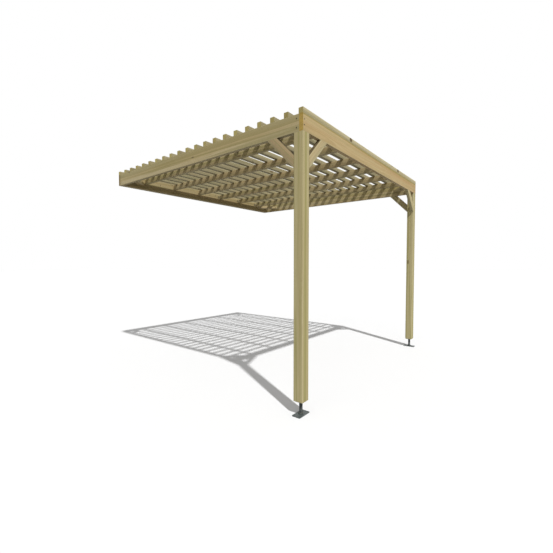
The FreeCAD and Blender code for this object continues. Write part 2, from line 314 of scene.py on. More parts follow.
def treated_pine(name, section, tones, stain_share, band=None, streak=None, set_knots=(), painted_front_light=0.0,
                 variety=0.0, painted_corner_shade=0.0):
    """Planed softwood, pressure treated, for boards of one section.

    Pale sapwood and warmer heartwood run along the board in long soft bands, with an olive stain where the
    preservative stayed, darker lines of late growth, a few brown knots that the lines flow round, rubbed edges
    made paler, partly as a painted highlight along the arrises, and ochre rings on the sawn ends. The surface is
    dry and hardly shines.

    A band is the height above the board's middle where a stained layer begins, and its strength. A streak is
    the place in the section that a narrow olive line runs along. Set knots are places along and up the first
    board. The gain for the first board is painted light: how much paler that board is, standing in for the
    shade that falls on the boards behind it. Variety is how far boards differ in stain. The painted corner shade
    is how much of the colour gives way to a dark painted shade on the narrow face at the lower end of the
    section, which on a brace is the face turned into the corner that it crosses.
    """
    settings = bpy.context.scene.pergola_timber
    sapwood, heartwood, stain, latewood, end_grain = [linear(tone) for tone in tones]
    material, tree, shader = new_material(name)

    # Place in the board in metres, with X along the grain, moved to another length of tree for each board
    grain = add(tree, "ShaderNodeAttribute", attribute_name="grain").outputs["Vector"]
    piece, end, first = [add(tree, "ShaderNodeAttribute", attribute_name=label).outputs["Fac"]
                         for label in ("piece", "end", "first")]
    draw = add(tree, "ShaderNodeTexWhiteNoise", {"W": piece}, noise_dimensions="1D")
    draws = add(tree, "ShaderNodeSeparateColor", [draw.outputs["Color"]]).outputs
    place = add(tree, "ShaderNodeVectorMath", [piece, (61.0, 0, 0), grain], "MULTIPLY_ADD")

    # The trunk wanders by about 15 mm over a metre
    wander = drawn_noise(tree, place, (0.9, 5.0, 5.0), 2.0)
    drift = add(tree, "ShaderNodeVectorMath", [wander.outputs["Color"], (0, 0.03, 0.03), (0, -0.015, -0.015)],
                "MULTIPLY_ADD")
    bend = add(tree, "ShaderNodeVectorMath", [drift, grain], "ADD")

    # Rings about a pith that lies beside the board
    pith_y = add(tree, "ShaderNodeMapRange", {0: draws[0], 3: -0.07, 4: 0.1})
    pith_z = add(tree, "ShaderNodeMapRange", {0: draws[1], 3: -0.03, 4: -0.1})
    pith = add(tree, "ShaderNodeCombineXYZ", {"Y": pith_y, "Z": pith_z})
    spread = add(tree, "ShaderNodeVectorMath", [bend, pith], "SUBTRACT")
    across = add(tree, "ShaderNodeVectorMath", [spread, (0, 1, 1)], "MULTIPLY")
    radius = add(tree, "ShaderNodeVectorMath", [across], "LENGTH")

    # Knots about 25 mm wide, one or two in a slat, and the lines that flow round them
    cells = add(tree, "ShaderNodeVectorMath", [place, (3.2, 9.0, 9.0)], "MULTIPLY")
    distance = add(tree, "ShaderNodeTexVoronoi", {"Vector": cells, "Scale": 1.0})
    flow = add(tree, "ShaderNodeMapRange", [distance, 0.45, 0.06, 0.0, 2.4], **SMOOTH)
    knot = add(tree, "ShaderNodeMapRange", [distance, 0.125, 0.085, 0.0, 0.68], **SMOOTH)
    heart = add(tree, "ShaderNodeMapRange", [distance, 0.09, 0.03])
    for spot, height in set_knots:
        away = add(tree, "ShaderNodeVectorMath", [grain, (spot, 0, height)], "SUBTRACT")
        oval = add(tree, "ShaderNodeVectorMath", [away, (1 / (30 * MM), 0, 1 / (22 * MM))], "MULTIPLY")
        span = add(tree, "ShaderNodeVectorMath", [oval], "LENGTH")
        core = add(tree, "ShaderNodeMapRange", [span, 1.1, 0.75, 0.0, 0.95], **SMOOTH)
        only = add(tree, "ShaderNodeMath", [core, first], "MULTIPLY")
        knot = add(tree, "ShaderNodeMath", [knot, only], "MAXIMUM")
    years = add(tree, "ShaderNodeMath", [radius, settings.ring_width], "DIVIDE")
    phase = add(tree, "ShaderNodeMath", [years, flow], "ADD")
    year = add(tree, "ShaderNodeMath", [phase], "FRACT")
    ring = add(tree, "ShaderNodeValToRGB", [year])
    ramp = ring.color_ramp.elements
    ramp[0].color = (0.08, 0.08, 0.08, 1)
    ramp[1].color = (0.1, 0.1, 0.1, 1)
    for stop, level in ((0.45, 0.15), (0.86, 1.0)):
        ramp.new(stop).color = (level, level, level, 1)

    # Fibres about 1.5 mm wide, wider than real ones so that they show
    fibre = drawn_noise(tree, place, (7.0, 650.0, 650.0), 3.0, 0.6)

    # Bands of sapwood and heartwood about 60 mm wide, and stain in streaks about 20 mm wide
    bands = drawn_noise(tree, place, (0.45, 17.0, 17.0), 3.0)
    tone = add(tree, "ShaderNodeMapRange", [bands, 0.38, 0.62])
    narrow = add(tree, "ShaderNodeVectorMath", [place, (0.6, 45.0, 45.0), (11.0, 4.0, 7.0)], "MULTIPLY_ADD")
    streaks = add(tree, "ShaderNodeTexNoise", {"Vector": narrow, "Scale": 1.0, "Detail": 4.0})
    batch = add(tree, "ShaderNodeMapRange", {0: draws[1], 3: -variety, 4: variety})
    soaked = add(tree, "ShaderNodeMath", [streaks, batch], "ADD")
    stained = add(tree, "ShaderNodeMapRange", [soaked, 0.46, 0.66, 0.0, stain_share], **SMOOTH)
    bent = add(tree, "ShaderNodeSeparateXYZ", [bend]).outputs
    if band:
        height, share = band
        fringe = 5.0 * MM
        ragged = add(tree, "ShaderNodeMath", [streaks, 0.04, -0.02], "MULTIPLY_ADD")
        above = add(tree, "ShaderNodeMath", [ragged, bent[2]], "ADD")
        layer = add(tree, "ShaderNodeMapRange", [above, height - fringe, height + fringe], **SMOOTH)
        line = add(tree, "ShaderNodeMath", [layer, 0.5], "PINGPONG")
        darker = add(tree, "ShaderNodeMath", [layer, share, line], "MULTIPLY_ADD")
        stained = add(tree, "ShaderNodeMath", [stained, darker], "MAXIMUM")
    if streak:
        line = add(tree, "ShaderNodeCombineXYZ", {"Y": bent[1], "Z": bent[2]})
        reach = add(tree, "ShaderNodeVectorMath", [line, (0.0, *streak)], "DISTANCE")
        core = add(tree, "ShaderNodeMapRange", [reach, 13.0 * MM, 6.0 * MM, 0.0, 0.9], **SMOOTH)
        stained = add(tree, "ShaderNodeMath", [stained, core], "MAXIMUM")

    # Long edges, rubbed paler over about 5 mm, partly a painted highlight along the arrises
    corner = add(tree, "ShaderNodeVectorMath", [grain], "ABSOLUTE")
    inset = add(tree, "ShaderNodeVectorMath", [(0.0, section[0] / 2, section[1] / 2), corner], "SUBTRACT")
    depth = add(tree, "ShaderNodeVectorMath", [inset, (0, 1, 1)], "DOT_PRODUCT")
    rubbed_edge_highlight = add(tree, "ShaderNodeMapRange", [depth, 6.0 * MM, 1.0 * MM, 0.0, 0.16], **SMOOTH)

    # Painted shade on the narrow face at the lower end of the section, which on a brace faces into its corner
    sides = add(tree, "ShaderNodeSeparateXYZ", [grain]).outputs
    low_end = -section[0] / 2
    corner_shade_mask = add(tree, "ShaderNodeMapRange", [sides[1], low_end + 2.5 * MM, low_end + 0.5 * MM, 0.0, painted_corner_shade],
                   **SMOOTH)

    # Tones of the sawn ends and of the knots
    ring_share = add(tree, "ShaderNodeMath", [ring, 0.5], "MULTIPLY")
    blotch = add(tree, "ShaderNodeTexNoise", {"Vector": place, "Scale": 1 / (30 * MM), "Detail": 3.0})
    dulled = add(tree, "ShaderNodeMath", [blotch, draws[0]], "MULTIPLY")
    end_ground = add(tree, "ShaderNodeMix", {0: dulled, 6: end_grain, 7: linear("#87713F")}, data_type="RGBA")
    end_rings = add(tree, "ShaderNodeMix", {0: ring_share, 6: end_ground, 7: linear("#7A5C26")}, data_type="RGBA")
    end_share = add(tree, "ShaderNodeMath", [end, 0.85], "MULTIPLY")
    knot_tone = add(tree, "ShaderNodeMix", {0: heart, 6: linear("#4E3F27"), 7: linear("#7A5C38")}, data_type="RGBA")

    # Colours laid one over another, from the sapwood to the rubbed edges with painted highlight and the painted
    # shade
    layers = ((tone, heartwood), (stained, stain), (ring_share, latewood), (end_share, end_rings), (knot, knot_tone),
              (rubbed_edge_highlight, linear("#DDD6B8")), (corner_shade_mask, linear("#4F4128")))
    ground = sapwood
    for share, over in layers:
        ground = add(tree, "ShaderNodeMix", {0: share, 6: ground, 7: over}, data_type="RGBA")

    # Fibres and boards differ in brightness, and the first board is paler as painted light, for the shade on the
    # boards behind it
    light = add(tree, "ShaderNodeMapRange", [fibre, 0.3, 0.7, 0.9, 1.08])
    board = add(tree, "ShaderNodeMapRange", {0: draws[2], 3: 0.9, 4: 1.08})
    paler = add(tree, "ShaderNodeMath", [first, end], "SUBTRACT", use_clamp=True)
    gain = add(tree, "ShaderNodeMath", [paler, painted_front_light, board], "MULTIPLY_ADD")
    value = add(tree, "ShaderNodeMath", [light, gain], "MULTIPLY")
    colour = add(tree, "ShaderNodeVectorMath", {0: ground, "Scale": value}, "SCALE")

    # Late growth stands a little proud and is a little smoother
    rough = add(tree, "ShaderNodeMapRange", {0: ring, 3: 0.78, 4: 0.62})
    relief = add(tree, "ShaderNodeMath", [ring, 0.6, fibre], "MULTIPLY_ADD")
    bump = add(tree, "ShaderNodeBump", {"Strength": 0.35, "Distance": 0.5 * MM, "Height": relief})
    feed(tree, shader, {"Base Color": colour, "Roughness": rough, "Normal": bump, "Specular IOR Level": 0.25})
    return material


def metal(name, colour, dark, metallic, roughness, grit):
    """Coated or plated steel, with a colour that clouds a little and a fine grit, given in metres."""
    material, tree, shader = new_material(name)
    place = add(tree, "ShaderNodeTexCoord").outputs["Object"]
    cloud = add(tree, "ShaderNodeTexNoise", {"Vector": place, "Scale": 1 / (12 * MM), "Detail": 4.0})
    mixed = add(tree, "ShaderNodeMix", {0: cloud, 6: linear(colour), 7: linear(dark)}, data_type="RGBA")
    rough = add(tree, "ShaderNodeMapRange", [cloud, 0.3, 0.7, roughness - 0.08, roughness + 0.08])
    grains = add(tree, "ShaderNodeTexNoise", {"Vector": place, "Scale": 1 / grit, "Detail": 2.0})
    bump = add(tree, "ShaderNodeBump", {"Strength": 0.25, "Distance": 0.15 * MM, "Height": grains})
    feed(tree, shader, {"Base Color": mixed, "Roughness": rough, "Normal": bump, "Metallic": metallic})
    return material


FINISHES = {}


def make_finishes():
    """Make every material once."""
    post = extent("left_post").x
    beam = extent("left_side_beam").xz
    brace = (bpy.context.scene.pergola_timber.brace_width, BOARD)
    # Section, tones of sapwood, heartwood, stain, latewood and end grain, share of stain, and marks
    timbers = {
        "post": ((post, post), "#CBC194 #BAAD80 #9A9558 #A0905F #BBA463", 0.75, {"streak": (-0.004, -0.045)}),
        "front_beam": (beam, "#C5B082 #BB9D6E #8F8748 #A58959 #D6B44C", 0.2, {"band": (0.056, 0.75)}),
        "side_beam": (beam, "#CDBE96 #C2AE80 #8F8750 #9B8B5A #B8A05C", 0.6, {"band": (0.012, 0.45)}),
        # Rear beam and wall plate: the dark end-grain tone #7C6D40 is painted shade for the wall plate's end at the
        # wall
        "rear_beam": (beam, "#BBAB80 #AF996C #8F8650 #8E7C55 #7C6D40", 0.6, {}),
        "rafter": (RAFTER_SIZE.xz, "#BDAE85 #B29D72 #958D58 #92805A #BBA463", 0.7, {"variety": 0.06}),
        # Slats: tones darkened in part as painted shade under the roof, and the first slat lifted back by painted
        # light
        "slat": (SLAT_SIZE.yz, "#B1A885 #A09573 #8C8660 #86795A #C8BC74", 0.6,
                 {"set_knots": ((-0.664, 0.006), (0.713, 0.004)), "painted_front_light": 0.45, "variety": 0.12}),
        # Braces: painted shade darkens the face turned into the corner that each brace crosses
        "brace": (brace, "#D2C698 #C2A97F #A09B66 #998962 #BBA463", 0.6, {"painted_corner_shade": 0.9}),
    }
    for name, (section, tones, stain_share, marks) in timbers.items():
        FINISHES[name] = treated_pine("treated_pine_" + name, section, tones.split(), stain_share, **marks)
    # Zinc on screws, dulled and browned outdoors: dark warm grey, half glossy
    FINISHES["screw"] = metal("dulled_zinc_screw_steel", "#5E5847", "#433E33", 1.0, 0.42, 0.6 * MM)
    # Hot-dip zinc on pressed sheet and turned bushes, weathered: mid grey, dull, clouded
    FINISHES["zinc"] = metal("galvanised_steel", "#8F8C82", "#75736B", 1.0, 0.55, 0.8 * MM)
    # Zinc with a yellow passivation on bent sheet: straw gold, dull, near the timber's own colour
    FINISHES["bracket"] = metal("yellow_passivated_zinc_steel", "#ADA386", "#91886C", 1.0, 0.6, 0.8 * MM)
    # Powder coat on a cut plate: dark grey, satin, with a fine orange-peel skin
    FINISHES["coat"] = metal("powder_coated_steel", "#4E5452", "#404644", 0.0, 0.48, 1.2 * MM)
    # Oiled black oxide on a turned and threaded bar: darker, with more shine
    FINISHES["stem"] = metal("blackened_threaded_steel", "#5D6261", "#464A49", 0.7, 0.36, 0.6 * MM)


# Trees for timbers and fixings

def board_mesh(tree, inputs):
    """Board along X with eased long edges."""
    start, stop = [add(tree, "ShaderNodeVectorMath", [inputs["Length"], (share, 0, 0)], "MULTIPLY")
                   for share in (-0.5, 0.5)]
    path = add(tree, "GeometryNodeCurvePrimitiveLine", {"Start": start, "End": stop})
    section = add(tree, "GeometryNodeCurvePrimitiveQuadrilateral",
                  {"Width": inputs["Width"], "Height": inputs["Depth"]})
    eased = add(tree, "GeometryNodeFilletCurve", {"Curve": section, "Count": 3, "Radius": inputs["Arris"]},
                mode="POLY")
    return add(tree, "GeometryNodeCurveToMesh", {"Curve": path, "Profile Curve": eased, "Fill Caps": True})


def marked_boards(tree, inputs, mesh, points, turn):
    """Close a tree with copies of a board on points, which note their place in the board and the sawn ends."""
    position = add(tree, "GeometryNodeInputPosition")
    normal = add(tree, "ShaderNodeSeparateXYZ", [add(tree, "GeometryNodeInputNormal")])
    lean = add(tree, "ShaderNodeMath", [normal.outputs[0]], "ABSOLUTE")
    sawn = add(tree, "ShaderNodeMath", [lean, SAWN], "GREATER_THAN")
    for label, value, kind, domain in (("grain", position, "FLOAT_VECTOR", "POINT"), ("end", sawn, "FLOAT", "FACE")):
        mesh = add(tree, "GeometryNodeStoreNamedAttribute", {"Geometry": mesh, "Name": label, "Value": value},
                   data_type=kind, domain=domain)
    copies = add(tree, "GeometryNodeInstanceOnPoints", {"Points": points, "Instance": mesh, **turn})
    chance = add(tree, "FunctionNodeRandomValue", {"Seed": inputs["Seed"]}, data_type="FLOAT")
    index = add(tree, "GeometryNodeInputIndex")
    front = add(tree, "ShaderNodeMath", [index, 0.5], "LESS_THAN")
    for label, value in (("piece", chance), ("first", front)):
        copies = add(tree, "GeometryNodeStoreNamedAttribute", {"Geometry": copies, "Name": label, "Value": value},
                     data_type="FLOAT", domain="INSTANCE")
    return end_tree(tree, copies, inputs["Material"])


def stored_turn(tree):
    """Rotation input, read from the points' turn attribute."""
    stored = add(tree, "GeometryNodeInputNamedAttribute", {"Name": "turn"}, data_type="FLOAT_VECTOR")
    return {"Rotation": add(tree, "FunctionNodeEulerToRotation", [stored])}


def finished_copies(tree, inputs, shape):
    """Close a tree with copies of a shape on its points, turned as the points say."""
    copies = add(tree, "GeometryNodeInstanceOnPoints",
                 {"Points": inputs["Geometry"], "Instance": shape, **stored_turn(tree)})
    return end_tree(tree, copies, inputs["Material"])


BOARD_INPUTS = {"Length": "Float", "Width": "Float", "Depth": "Float", "Arris": "Float", "Seed": "Int",
                "Material": "Material"}


def rafter_tree():
    """Plain boards on points."""
    tree, inputs = new_tree("Rafters", BOARD_INPUTS)
    return marked_boards(tree, inputs, board_mesh(tree, inputs), inputs["Geometry"], stored_turn(tree))


def slat_tree():
    """Slats on a line of points, each with a row of countersunk holes on the points given."""
    tree, inputs = new_tree("Slats", {**BOARD_INPUTS, "Count": "Int", "Pitch": "Vector", "First": "Vector",
                                      "Head": "Float", "Sink": "Float"})
    mesh = board_mesh(tree, inputs)
    cone = add(tree, "GeometryNodeMeshCone",
               {"Vertices": 20, "Radius Top": inputs["Head"], "Radius Bottom": 2.4 * MM, "Depth": inputs["Sink"]})
    holes = add(tree, "GeometryNodeInstanceOnPoints", {"Points": inputs["Geometry"], "Instance": cone})
    tools = add(tree, "GeometryNodeRealizeInstances", {"Geometry": holes})
    drilled = add(tree, "GeometryNodeMeshBoolean", {"Mesh 1": mesh, "Mesh 2": [tools]}, **CUT)
    line = add(tree, "GeometryNodeMeshLine",
               {"Count": inputs["Count"], "Start Location": inputs["First"], "Offset": inputs["Pitch"]})
    return marked_boards(tree, inputs, drilled, line, {})


def brace_tree():
    """Mitred braces on points, each with two pockets for screw heads bored square to its ends."""
    tree, inputs = new_tree("Braces", {**BOARD_INPUTS, "Pocket": "Float", "Seat": "Float"})
    mesh = board_mesh(tree, inputs)
    where = add(tree, "ShaderNodeSeparateXYZ", [add(tree, "GeometryNodeInputPosition")])
    end = add(tree, "ShaderNodeMath", [where.outputs[0]], "SIGN")
    slant = add(tree, "ShaderNodeMath", [end, where.outputs[1]], "MULTIPLY")
    shift = add(tree, "ShaderNodeCombineXYZ", {"X": slant})
    mitred = add(tree, "GeometryNodeSetPosition", {"Geometry": mesh, "Offset": shift})
    bore_length, bore_height = 60.0 * MM, 52.0 * MM
    bore = add(tree, "GeometryNodeMeshCylinder", {"Vertices": 20, "Radius": inputs["Pocket"], "Depth": bore_length})
    tools = []
    for sign in (-1, 1):
        reach = add(tree, "ShaderNodeMath", [inputs["Seat"], sign], "MULTIPLY")
        spot = add(tree, "ShaderNodeCombineXYZ", {"X": reach, "Y": bore_height})
        turn = (math.radians(90), 0, math.radians(45 * sign))
        tools.append(add(tree, "GeometryNodeTransform", {"Geometry": bore, "Translation": spot, "Rotation": turn}))
    drilled = add(tree, "GeometryNodeMeshBoolean", {"Mesh 1": mitred, "Mesh 2": tools}, **CUT)
    return marked_boards(tree, inputs, drilled, inputs["Geometry"], stored_turn(tree))


def screw_tree():
    """Screws on points: a head with a star recess, and a plain shank below it."""
    tree, inputs = new_tree("Screws", {"Top": "Float", "Foot": "Float", "Height": "Float", "Lift": "Float",
                                       "Length": "Float", "Recess": "Float", "Material": "Material"})
    cone = add(tree, "GeometryNodeMeshCone",
               {"Vertices": 16, "Radius Top": inputs["Top"], "Radius Bottom": inputs["Foot"],
                "Depth": inputs["Height"]})
    rise = add(tree, "ShaderNodeCombineXYZ", {"Z": inputs["Lift"]})
    head = add(tree, "GeometryNodeTransform", {"Geometry": cone, "Translation": rise})
    inner = add(tree, "ShaderNodeMath", [inputs["Recess"], 0.68], "MULTIPLY")
    star = add(tree, "GeometryNodeCurveStar", {"Points": 6, "Inner Radius": inner, "Outer Radius": inputs["Recess"]})
    top = add(tree, "ShaderNodeMath", [inputs["Lift"], inputs["Height"]], "ADD")
    start, stop = [add(tree, "ShaderNodeVectorMath", [top, Z_AXIS, (0, 0, gap)], "MULTIPLY_ADD")
                   for gap in (-1.6 * MM, 1.0 * MM)]
    axis = add(tree, "GeometryNodeCurvePrimitiveLine", {"Start": start, "End": stop})
    socket = add(tree, "GeometryNodeCurveToMesh", {"Curve": axis, "Profile Curve": star, "Fill Caps": True})
    cut = add(tree, "GeometryNodeMeshBoolean", {"Mesh 1": head, "Mesh 2": [socket]}, **CUT)
    shank = add(tree, "GeometryNodeMeshCone",
                {"Vertices": 8, "Radius Top": 2.0 * MM, "Radius Bottom": 0.5 * MM, "Depth": inputs["Length"]})
    drop = add(tree, "ShaderNodeVectorMath", [inputs["Length"], DOWN, rise], "MULTIPLY_ADD")
    body = add(tree, "GeometryNodeTransform", {"Geometry": shank, "Translation": drop})
    screw = add(tree, "GeometryNodeJoinGeometry", [[cut, body]])
    return finished_copies(tree, inputs, screw)


def bracket_tree():
    """Bent sheet angles on points, with a rounded bend."""
    tree, inputs = new_tree("Brackets", {"Leg": "Float", "Height": "Float", "Sheet": "Float", "Bend": "Float",
                                         "Material": "Material"})
    half = add(tree, "ShaderNodeMath", [inputs["Sheet"], 0.5], "MULTIPLY")
    near = add(tree, "ShaderNodeCombineXYZ", {"X": inputs["Leg"], "Y": half})
    corner = add(tree, "ShaderNodeCombineXYZ", {"X": half, "Y": half})
    far = add(tree, "ShaderNodeCombineXYZ", {"X": half, "Y": inputs["Leg"]})
    first = add(tree, "GeometryNodeCurvePrimitiveLine", {"Start": near, "End": corner})
    whole = add(tree, "GeometryNodeResampleCurve", {"Curve": first, "Count": 3}, mode="COUNT")
    index = add(tree, "GeometryNodeInputIndex")
    is_last = add(tree, "ShaderNodeMath", [index, 1.5], "GREATER_THAN")
    is_middle = add(tree, "ShaderNodeMath", [index, 1.0, 0.1], "COMPARE")
    moved = add(tree, "GeometryNodeSetPosition", {"Geometry": whole, "Selection": is_middle, "Position": corner})
    angle = add(tree, "GeometryNodeSetPosition", {"Geometry": moved, "Selection": is_last, "Position": far})
    bent = add(tree, "GeometryNodeFilletCurve", {"Curve": angle, "Count": 5, "Radius": inputs["Bend"]}, mode="POLY")
    section = add(tree, "GeometryNodeCurvePrimitiveQuadrilateral",
                  {"Width": inputs["Sheet"], "Height": inputs["Height"]})
    strip = add(tree, "GeometryNodeCurveToMesh", {"Curve": bent, "Profile Curve": section, "Fill Caps": True})
    return finished_copies(tree, inputs, strip)


def thread_tree():
    """Upright bar on points whose side rises and falls in a right-hand screw thread."""
    tree, inputs = new_tree("Thread", {"Radius": "Float", "Length": "Float", "Pitch": "Float", "Groove": "Float",
                                       "Rows": "Int", "Material": "Material"})
    bar = add(tree, "GeometryNodeMeshCylinder",
              {"Vertices": 40, "Side Segments": inputs["Rows"], "Radius": inputs["Radius"],
               "Depth": inputs["Length"]})
    where = add(tree, "ShaderNodeSeparateXYZ", [add(tree, "GeometryNodeInputPosition")])
    bearing = add(tree, "ShaderNodeMath", [where.outputs[1], where.outputs[0]], "ARCTAN2")
    turns = add(tree, "ShaderNodeMath", [bearing, 2 * math.pi], "DIVIDE")
    rows = add(tree, "ShaderNodeMath", [where.outputs[2], inputs["Pitch"]], "DIVIDE")
    phase = add(tree, "ShaderNodeMath", [rows, turns], "SUBTRACT")
    flank = add(tree, "ShaderNodeMath", [phase, 0.5], "PINGPONG")
    groove = add(tree, "ShaderNodeMapRange", [flank, 0.06, 0.42, 0.0, -1.0])
    ground = add(tree, "ShaderNodeMath", [where.outputs[2]], "ABSOLUTE")
    half = add(tree, "ShaderNodeMath", [inputs["Length"], 0.5], "MULTIPLY")
    rest = add(tree, "ShaderNodeMath", [half, ground], "SUBTRACT")
    fade = add(tree, "ShaderNodeMapRange", [rest, 0.0, inputs["Pitch"]])
    depth = add(tree, "ShaderNodeMath", [groove, fade], "MULTIPLY")
    inward = add(tree, "ShaderNodeMath", [depth, inputs["Groove"]], "MULTIPLY")
    flat = add(tree, "ShaderNodeCombineXYZ", {"X": where.outputs[0], "Y": where.outputs[1]})
    outward = add(tree, "ShaderNodeVectorMath", [flat], "NORMALIZE")
    offset = add(tree, "ShaderNodeVectorMath", {0: outward, "Scale": inward}, "SCALE")
    side = add(tree, "GeometryNodeSetPosition", {"Geometry": bar, "Offset": offset})
    return finished_copies(tree, inputs, side)


# Posts and beams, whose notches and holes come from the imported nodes

def timber_copy(node, axes, lot, name, material):
    """Copy of a timber that notes each point's place along and across the grain, and its sawn ends."""
    shape = merged_copy(node)
    centre = middle(node)
    grain = shape.verts.layers.float_vector.new("grain")
    piece = shape.verts.layers.float.new("piece")
    end = shape.faces.layers.float.new("end")
    for vertex in shape.verts:
        offset = vertex.co - centre
        vertex[grain] = Vector([offset.dot(axis) for axis in axes])
        vertex[piece] = lot
    for face in shape.faces:
        face[end] = 1.0 if abs(face.normal.dot(axes[0])) > SAWN else 0.0
    timber = object_from(shape, name)
    timber.data.materials.append(material)
    return timber


class PERGOLA_OT_posts(bpy.types.Operator):
    """Dress the two posts in treated pine."""

    bl_idname = "pergola.posts"
    bl_label = "Posts"

    def execute(self, context):
        for side, lot in (("left", 0.22), ("right", 0.53)):
            node = side + "_post"
            piece = timber_copy(node, (Z_AXIS, X_AXIS, Y_AXIS), lot, side + "_timber_post", FINISHES["post"])
            settle(piece, "frame", "post_timber", [node])
        return {"FINISHED"}


class PERGOLA_OT_beams(bpy.types.Operator):
    """Dress the front beam, the wall plate, the rear beam and the side beams in treated pine."""

    bl_idname = "pergola.beams"
    bl_label = "Beams"

    def execute(self, context):
        x_grain = (X_AXIS, Y_AXIS, Z_AXIS)
        y_grain = (Y_AXIS, X_AXIS, Z_AXIS)
        beams = (("front_beam", x_grain, 0.291, "front_beam"), ("wall_plate", x_grain, 0.733, "rear_beam"),
                 ("rear_beam", x_grain, 0.4, "rear_beam"), ("left_side_beam", y_grain, 0.12, "side_beam"),
                 ("right_side_beam", y_grain, 0.33, "side_beam"))
        for node, axes, lot, finish in beams:
            piece = timber_copy(node, axes, lot, node + "_timber", FINISHES[finish])
            settle(piece, "frame", "beam_timber", [node])
        return {"FINISHED"}


class PERGOLA_OT_rafters(bpy.types.Operator):
    """Make the rafters."""

    bl_idname = "pergola.rafters"
    bl_label = "Rafters"

    def execute(self, context):
        timber = context.scene.pergola_timber
        points = [(middle(name), turned(Y_AXIS, -X_AXIS)) for name in RAFTERS]
        values = {"Length": RAFTER_SIZE.y, "Width": RAFTER_SIZE.x, "Depth": RAFTER_SIZE.z, "Arris": timber.arris,
                  "Seed": timber.seed, "Material": FINISHES["rafter"]}
        piece = grow("rafters", rafter_tree(), points, values)
        settle(piece, "frame", "rafter_timber", RAFTERS)
        return {"FINISHED"}


class PERGOLA_OT_slats(bpy.types.Operator):
    """Make the roof slats, with a countersunk hole for each screw."""

    bl_idname = "pergola.slats"
    bl_label = "Slats"

    def execute(self, context):
        timber = context.scene.pergola_timber
        head = context.scene.pergola_fixings.slat_head
        first = middle(SLATS[0])
        sink, head_room = 3.0 * MM, 1.04
        points = [(Vector((x - first.x, 0, SLAT_SIZE.z / 2 - sink)), facing(DOWN)) for x in SCREW_LINES]
        values = {"Length": SLAT_SIZE.x, "Width": SLAT_SIZE.y, "Depth": SLAT_SIZE.z, "Arris": timber.arris,
                  "Seed": timber.seed + 1, "Material": FINISHES["slat"], "Count": len(SLATS), "First": first,
                  "Pitch": (middle(SLATS[-1]) - first) / (len(SLATS) - 1), "Head": head * head_room,
                  "Sink": sink}
        piece = grow("roof_slats", slat_tree(), points, values)
        settle(piece, "frame", "slat_timber", SLATS)
        return {"FINISHED"}


class PERGOLA_OT_braces(bpy.types.Operator):
    """Make the knee braces and the flat corner braces."""

    bl_idname = "pergola.braces"
    bl_label = "Braces"

    def execute(self, context):
        timber = context.scene.pergola_timber
        mean_length = BRACE_LEG * math.sqrt(2) - timber.brace_width
        values = {"Length": mean_length, "Width": timber.brace_width, "Depth": BOARD, "Arris": timber.arris,
                  "Seed": timber.brace_seed, "Material": FINISHES["brace"], "Pocket": 6.2 * MM,
                  "Seat": mean_length / 2 - 10.0 * MM}
        piece = grow("braces", brace_tree(), brace_points(timber.brace_width), values)
        settle(piece, "frame", "brace_timber", BRACES)
        return {"FINISHED"}


def brace_legs(name):
    """Unit vectors of a brace's two legs, from the corner that it crosses."""
    side = -SIDES[name.split("_")[0]]
    if "front_knee" in name:
        return side * X_AXIS, DOWN
    if "side_knee" in name:
        return Y_AXIS, DOWN
    if "front_corner" in name:
        return side * X_AXIS, Y_AXIS
    return side * X_AXIS, -Y_AXIS


def brace_corner(name):
    """Corner that a brace crosses, in the brace's middle plane."""
    along, away = brace_legs(name)
    return middle(name) - (along + away) * BRACE_LEG / 2


def brace_points(width):
    """Middle and turn of each brace."""
    for name in BRACES:
        along, away = brace_legs(name)
        place = brace_corner(name) + (along + away) * (BRACE_LEG / 2 - width * math.sqrt(0.5) / 2)
        yield place, turned((along - away).normalized(), (along + away).normalized())


# Screws and brackets

class PERGOLA_OT_screws(bpy.types.Operator):
    """Make every screw: slat, frame, brace, bracket and bush screws."""

    bl_idname = "pergola.screws"
    bl_label = "Screws"

    def execute(self, context):
        fixings = context.scene.pergola_fixings
        slat_points = [(Vector((x, middle(name).y, ROOF_TOP)), facing(DOWN)) for name in SLATS for x in SCREW_LINES]
        flush = {"Foot": 2.5 * MM, "Height": 2.5 * MM, "Lift": -2.7 * MM, "Length": 60.0 * MM, "Recess": 2.4 * MM}
        pan = {"Foot": fixings.frame_head, "Height": 4.0 * MM, "Lift": 0.0, "Length": 60.0 * MM, "Recess": 2.8 * MM}
        small = {"Foot": fixings.bracket_head, "Height": 2.2 * MM, "Lift": 0.0, "Length": 22.0 * MM,
                 "Recess": 2.0 * MM}
        # A round head narrows to this share of its foot
        brace_taper, bracket_taper = 0.85, 0.8
        groups = {
            "slat_screws": (slat_points, {**flush, "Top": fixings.slat_head}),
            "frame_screws": (frame_screw_points(), {**flush, "Top": fixings.frame_head}),
            "brace_screws": (brace_screw_points(context.scene.pergola_timber.brace_width),
                             {**pan, "Top": fixings.frame_head * brace_taper}),
            "bracket_screws": (bracket_screw_points(fixings.bracket_sheet),
                               {**small, "Top": fixings.bracket_head * bracket_taper}),
            "bush_screws": (bush_screw_points(), {**flush, "Top": 4.8 * MM, "Length": 34.0 * MM}),
        }
        tree = screw_tree()
        for name, (points, values) in groups.items():
            finish = "bracket" if name == "bracket_screws" else "screw"
            piece = grow(name + "_heads", tree, points, {**values, "Material": FINISHES[finish]})
            settle(piece, "frame", "zinc_steel", [name])
        return {"FINISHED"}


def solid_boxes(node):
    """Lowest and highest corner of each separate solid in a node."""
    shape = merged_copy(node)
    waiting = dict.fromkeys(shape.verts)
    while waiting:
        start = next(iter(waiting))
        del waiting[start]
        stack, corners = [start], []
        while stack:
            vertex = stack.pop()
            corners.append(vertex.co.copy())
            for edge in vertex.link_edges:
                other = edge.other_vert(vertex)
                if other in waiting:
                    del waiting[other]
                    stack.append(other)
        yield [Vector([pick(values) for values in zip(*corners)]) for pick in (min, max)]
    shape.free()


